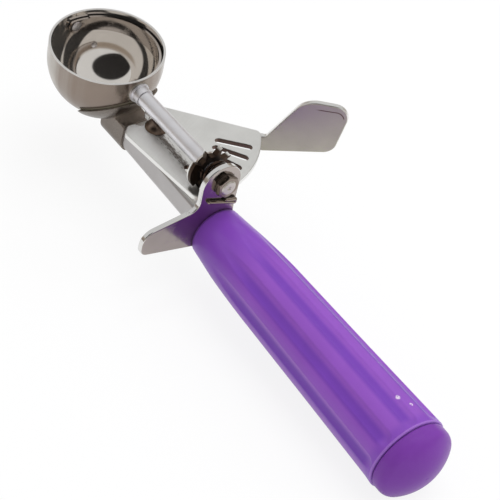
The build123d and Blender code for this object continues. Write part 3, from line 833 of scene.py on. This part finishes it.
# %% [markdown]
# ## The fluted grip
#
# The real grip is moulded in one piece over the stem's tang, with nine shallow flutes
# that fade out towards the guard and end round near the cap. A solid made from short
# cones shows its bands under gloss, so the visible skin is a surface of two
# parameters: the way along a section, and the angle about the grip's axis. A flute is
# a cylinder laid in the surface. On a ray at an angle f from the flute's middle it
# lies at c cos f - sqrt(q^2 - c^2 sin^2 f), where q is its radius and c how far its
# centre line is from the axis. A soft minimum of that and the turned radius rounds
# the flute's borders.

# %% Grip radius
FLUTE_RADIUS, FLUTE_DEPTH, FLUTE_LIFT = 6.5, 0.75, 0.15
FLUTE_BLEND = 0.12
OUTLINE_WINDOW = 4.0
WELL_OUTSIDE = 5.0


def turned_radius(station):
    """The grip's outline with its corners softened: its average over a window of 8 mm,
    weighted as a raised cosine."""
    stations, radii = np.array(GRIP_OUTLINE).T
    offsets = np.linspace(-OUTLINE_WINDOW, OUTLINE_WINDOW, 33)
    weights = 1 + np.cos(np.pi * offsets / OUTLINE_WINDOW)
    samples = np.interp(station[..., None] + offsets, stations, radii)
    return (samples * weights).sum(-1) / weights.sum()


def fluted_radius(station, angle):
    """The outline's radius less the flutes, by the formula above. Past its ends a flute
    is the ball that closes the cylinder, so its radius there is sqrt(q^2 - beyond^2).
    The soft minimum of g and r is g + (r - g) s - b s (1 - s), where the share s is
    1/2 + (g - r) / 2b, kept between 0 and 1, and b is the blend."""
    base = turned_radius(station)
    start = turned_radius(np.array(FLUTE_START)) + FLUTE_RADIUS + FLUTE_LIFT
    end = turned_radius(np.array(FLUTE_END)) + FLUTE_RADIUS - FLUTE_DEPTH
    passed = np.clip((station - FLUTE_START) / (FLUTE_END - FLUTE_START), 0, 1)
    centre = start + (end - start) * passed
    beyond = np.maximum(station - FLUTE_END, 0) + np.maximum(FLUTE_START - station, 0)
    ball = np.sqrt(np.maximum(FLUTE_RADIUS ** 2 - beyond ** 2, 1e-6))
    step = 2 * np.pi / FLUTE_COUNT
    off_middle = (angle - FLUTE_TURN + step / 2) % step - step / 2
    under = ball ** 2 - (centre * np.sin(off_middle)) ** 2
    groove = centre * np.cos(off_middle) - np.sqrt(np.maximum(under, 0))
    groove = np.where(under > 0, groove, base + WELL_OUTSIDE)
    share = np.clip(0.5 + (groove - base) / (2 * FLUTE_BLEND), 0, 1)
    return groove + (base - groove) * share - FLUTE_BLEND * share * (1 - share)


flute_middle = fluted_radius(np.array([60.0]), np.array([FLUTE_TURN]))[0]
print("flute", round(turned_radius(np.array(60.0)) - flute_middle, 2), "mm deep at mid-grip")

# %% [markdown]
# The grid's rows run from the tang bore's end, out over the front, along the skin, round
# the rear edge and down the plug's bore. The first and last rows shrink to points that
# close the bores, so the grip is a closed piece with the same hollows as its solid.

# %% Grip surface
TANG_BORE, TANG_END = 3.52, 88.1
PLUG_BORE, PLUG_END = 9.52, 99.1
REAR_STEP = 12.4
GRIP_EDGE, EDGE_ROWS = 0.6, 7
GRIP_COLUMNS = 40 * FLUTE_COUNT
FRONT_LEAN = 10


def grip_surface():
    """Rows are stations with a radius each, and columns go about the axis. The rear edge
    is a quarter circle. The front is cut upright, to lie flat against the guard, so its
    first 10 mm lean by x = station - z tan p."""
    angle = np.linspace(0, 2 * np.pi, GRIP_COLUMNS, endpoint=False)
    skin = np.concatenate([np.linspace(0, 10, 12, endpoint=False),
                           np.linspace(10, 90, 70, endpoint=False),
                           np.linspace(90, GRIP_LENGTH - GRIP_EDGE, 46)])
    corner = np.linspace(0, np.pi / 2, EDGE_ROWS + 1)[1:]
    station = np.concatenate([[TANG_END] * 2, [0.0] * 3, skin,
                              GRIP_LENGTH - GRIP_EDGE + GRIP_EDGE * np.sin(corner),
                              [GRIP_LENGTH] * 2, [PLUG_END] * 2])
    front, rear = 5, 5 + len(skin)
    last = rear + EDGE_ROWS
    radius = np.zeros((len(station), GRIP_COLUMNS))
    radius[front:rear] = fluted_radius(skin[:, None], angle[None, :])
    radius[rear:last] = radius[rear - 1] - GRIP_EDGE * (1 - np.cos(corner))[:, None]
    radius[1:3] = TANG_BORE
    radius[3:5] = TANG_BORE + (radius[front] - TANG_BORE) * np.array([[1], [2]]) / 3
    radius[last:last + 3] = [[REAR_STEP], [PLUG_BORE], [PLUG_BORE]]
    y, z = -radius * np.sin(angle), radius * np.cos(angle)
    lean = np.clip(1 - station / FRONT_LEAN, 0, 1)[:, None]
    x = station[:, None] - z * tan(GRIP_PITCH) * lean
    return from_grip(np.stack([x, y, z], -1))


grip = grid_piece("grip_moulding", grip_surface(), grip_plastic, "frame")
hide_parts("handle_grip")

# %% [markdown]
# ## The return spring's wire
#
# One length of spring wire: a hook into the pinion's face, turns round the shaft, a
# run out to a hole in the guard, through it, and across the guard's back. The solid
# is in three lengths. Here the whole path is one row of points, whose corners are
# softened by averaging.

# %% Spring path
WIRE_RADIUS, COIL_RADIUS, COIL_TURNS, COIL_STEPS = 0.7, 4.5, 3, 240
PINION_BACK, STUB_LENGTH = 64.5, 1.2
COIL_SPACE, HAIRPIN_SPACE = 0.1, 0.02
PITCH_RADIUS, PITCH_LINE_DEPTH, TAIL_SPACE = 6.912, 0.6, 0.15
TAIL_START = (-6.1, PITCH_LINE_DEPTH - PITCH_RADIUS + WIRE_RADIUS + TAIL_SPACE)
TAIL_END, TURN_START, TURN_END = (5.3, -9.9), (5.4, -8.45), (1.0, -7.2)


def softened(path, reach):
    """Each point moves to the average of its neighbours within reach steps. The two ends
    hardly move, because they count again past the end."""
    padded = np.concatenate([np.repeat(path[:1], reach, 0), path, np.repeat(path[-1:], reach, 0)])
    window = np.hanning(2 * reach + 3)[1:-1]
    window /= window.sum()
    return np.stack([np.convolve(padded[:, axis], window, "valid") for axis in range(3)], -1)


def run_between(start, end, step=0.12):
    """Evenly spaced points on a straight run, without its last point."""
    count = max(2, int(np.linalg.norm(np.subtract(end, start)) / step))
    return np.linspace(start, end, count, endpoint=False)


def spring_path():
    """The wire's middle line, in millimetres from the shaft's axis. The coil is
    (x, r cos t, r sin t), with x rising evenly and t ending where a straight run to the
    hole leaves the circle: the hole's own angle less arccos(r / its distance)."""
    y, z = TAIL_START
    leave = np.arctan2(z, y) - np.arccos(COIL_RADIUS / np.hypot(y, z))
    first, last = PINION_BACK + WIRE_RADIUS + COIL_SPACE, GUARD_FRONT - WIRE_RADIUS - COIL_SPACE
    turns = np.linspace(0, 1, COIL_STEPS)
    angle = leave + (turns - 1) * 2 * np.pi * COIL_TURNS
    coil = np.stack([first + (last - first) * turns, COIL_RADIUS * np.cos(angle),
                     COIL_RADIUS * np.sin(angle)], -1)
    behind = GUARD_BACK + WIRE_RADIUS + HAIRPIN_SPACE
    corners = [coil[-1], (last, *TAIL_START), (behind, *TAIL_START), (behind, *TAIL_END),
               (behind, *TURN_START), (behind, *TURN_END)]
    hook = run_between((PINION_BACK - STUB_LENGTH, *coil[0, 1:]), coil[0])
    tail = [run_between(start, end) for start, end in zip(corners, corners[1:])]
    return softened(np.concatenate([hook, coil, *tail]), 4)


wire_path = spring_path()
print("wire", round(float(np.linalg.norm(np.diff(wire_path, axis=0), axis=1).sum())), "mm long")

# %% [markdown]
# A circle is carried along that path, and lies across it at each step. The wire is black
# with grease between the pinion and the guard, and cleaner behind it.

# %% Spring wire
END_RINGS = 5


def carried_circle(path, radius, columns=20):
    """With d the path's direction, n a vector across it that turns with the coil and
    b = d x n, the ring at each step is p + radius (n cos t + b sin t). The ends close
    over half balls."""
    direction = np.gradient(path, axis=0)
    direction /= np.linalg.norm(direction, axis=1)[:, None]
    turning = np.unwrap(np.arctan2(path[:, 2], path[:, 1]))
    normal = np.stack([np.zeros_like(turning), np.cos(turning), np.sin(turning)], -1)
    normal -= direction * (normal * direction).sum(1)[:, None]
    normal /= np.linalg.norm(normal, axis=1)[:, None]
    side = np.cross(direction, normal)
    swell = np.linspace(0, np.pi / 2, END_RINGS + 1)
    before = path[:1] - radius * np.cos(swell)[:-1, None] * direction[:1]
    after = path[-1:] + radius * np.sin(swell)[1:, None] * direction[-1:]
    centre = np.concatenate([before, path, after])
    size = np.concatenate([np.sin(swell)[:-1], np.ones(len(path)), np.cos(swell)[1:]]) * radius
    normal, side = (np.concatenate([np.repeat(each[:1], END_RINGS, 0), each,
                                    np.repeat(each[-1:], END_RINGS, 0)])
                    for each in (normal, side))
    around = np.linspace(0, 2 * np.pi, columns, endpoint=False)[None, :, None]
    ring = normal[:, None] * np.cos(around) + side[:, None] * np.sin(around)
    return centre[:, None] + size[:, None, None] * ring


def coil_zone(tree, place):
    """Everything in front of the guard's face."""
    return ramp(tree, along(tree, place, ALONG), GUARD_FRONT - 0.4, GUARD_FRONT, 1.0, 0.0)


spring_steel = steel("oiled spring steel", colour(150, 138, 128), 0.08,
                     (1200.0, 1200.0, 1200.0), grain=0.05, smudges=0.06, grime=0.95,
                     grime_tint=colour(28, 20, 15), reach=0.78,
                     zones=[(coil_zone, colour(64, 50, 42))])
spring = grid_piece("spring_wire", from_shaft(carried_circle(wire_path, WIRE_RADIUS)),
                    spring_steel, "frame")
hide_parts("return_spring")

# %% [markdown]
# ## Floor
#
# A pale floor runs far past the scoop. Rays straight from the camera see it glow for
# the most part, so that the backdrop is white while a faint shadow stays, and glossy
# rays see less of the glow. Diffuse rays see none of it, so it throws no light on the
# scoop's sides.

# %% Floor
FLOOR_GAP, FLOOR_REACH = 0.2, 9.0
STRAIGHT_GLOW, GLOSSY_GLOW = 0.85, 0.6
floor_height = cad_box[0].z - FLOOR_GAP * MM
floor_corners = [(x * FLOOR_REACH, y * FLOOR_REACH, floor_height)
                 for x, y in ((-1, -1), (1, -1), (1, 1), (-1, 1))]
floor_mesh = bpy.data.meshes.new("floor")
floor_mesh.from_pydata(floor_corners, [], [(0, 1, 2, 3)])
floor = bpy.data.objects.new("floor", floor_mesh)
bpy.context.scene.collection.objects.link(floor)
paper = bpy.data.materials.new("white paper floor")
paper.use_nodes = True
sheet = paper.node_tree
sheet.nodes.clear()
rays = sheet.nodes.new("ShaderNodeLightPath").outputs
straight = calculate(sheet, "MAXIMUM", rays["Is Camera Ray"], rays["Is Transmission Ray"])
seen = calculate(sheet, "MAXIMUM", product(sheet, straight, STRAIGHT_GLOW),
                 product(sheet, rays["Is Glossy Ray"], GLOSSY_GLOW))
matt = put(sheet, "ShaderNodeBsdfDiffuse", {"Color": (0.9, 0.9, 0.9, 1)}).outputs[0]
glow = put(sheet, "ShaderNodeEmission", {"Color": (1, 1, 1, 1), "Strength": 1.0}).outputs[0]
paper_mix = put(sheet, "ShaderNodeMixShader", {0: seen, 1: matt, 2: glow}).outputs[0]
put(sheet, "ShaderNodeOutputMaterial", {"Surface": paper_mix})
floor_mesh.materials.append(paper)
print("floor at", round(floor_height, 4), "m")

# %% [markdown]
# ## World
#
# Polished steel shows the room round it, so the world is a room for glossy rays: warm
# walls up to a white ceiling, and one dark oval that the bowl's bottom mirrors. For
# diffuse rays it is an even pale grey, and straight rays see white, scaled up by as
# much as the background's strength scales it down.

# %% World
WORLD_STRENGTH = 0.75
OVAL_RISE, OVAL_ASIDE = 0.28, -0.16
OVAL_WIDTH, OVAL_HEIGHT = 0.66, 0.48
world = bpy.data.worlds.new("studio room")
bpy.context.scene.world = world
world.use_nodes = True
room = world.node_tree
room.nodes.clear()
look = room.nodes.new("ShaderNodeTexCoord").outputs["Generated"]
oval_middle = (back + OVAL_RISE * up + OVAL_ASIDE * right).normalized()
oval_side = (right - oval_middle * oval_middle.dot(right)).normalized()
oval_over = oval_middle.cross(oval_side)
above_floor = put(room, "ShaderNodeSeparateXYZ", {0: look}).outputs["Z"]
walls = mixed(room, spread(room, above_floor, 0.0, 0.3), colour(150, 136, 124),
              colour(188, 175, 162))
ceiling = mixed(room, spread(room, above_floor, 0.3, 0.42), walls, colour(248, 248, 248))
wide = product(room, along(room, look, tuple(oval_side)), 1 / OVAL_WIDTH)
tall = product(room, along(room, look, tuple(oval_over)), 1 / OVAL_HEIGHT)
outward = calculate(room, "ADD", product(room, wide, wide), product(room, tall, tall))
ahead = spread(room, along(room, look, tuple(oval_middle)), 0.1, 0.3)
oval = product(room, spread(room, outward, 0.85, 1.05, 1.0, 0.0), ahead)
gloss_room = mixed(room, oval, ceiling, colour(24, 21, 20))
rays = room.nodes.new("ShaderNodeLightPath").outputs
in_gloss = mixed(room, rays["Is Glossy Ray"], (0.86, 0.86, 0.87, 1), gloss_room)
straight = calculate(room, "MAXIMUM", rays["Is Camera Ray"], rays["Is Transmission Ray"])
shown = mixed(room, straight, in_gloss, (*[1 / WORLD_STRENGTH] * 3, 1))
background = put(room, "ShaderNodeBackground", {"Color": shown, "Strength": WORLD_STRENGTH})
put(room, "ShaderNodeOutputWorld", {"Surface": background.outputs[0]})
print("world,", len(room.nodes), "nodes")

# %% [markdown]
# ## Lamps
#
# Two square area lamps, one over the scoop and one at its side, are large for its size,
# so the shadows are soft. Glossy rays don't see them, because a lamp's square would
# show in the polished steel.


# %% Lamps
def area_lamp(name, place, target, size, power):
    """A square lamp that faces a target, its -Z along (target - place); power is in watts."""
    lamp = bpy.data.lights.new(name, "AREA")
    lamp.shape, lamp.size, lamp.energy = "SQUARE", size, power
    holder = bpy.data.objects.new(name, lamp)
    bpy.context.scene.collection.objects.link(holder)
    aim = Vector(target) - Vector(place)
    holder.rotation_mode = "QUATERNION"
    holder.rotation_quaternion = aim.to_track_quat("-Z", "Y")
    holder.location = place
    holder.visible_glossy = False


mid_scoop = (0.08, 0.0, 0.0)
area_lamp("overhead softbox", (0.1, 0.25, 1.3), mid_scoop, 1.0, 9.0)
area_lamp("side softbox", (0.9, 0.9, 0.7), mid_scoop, 0.7, 4.0)
print(len(bpy.data.lights), "lamps")
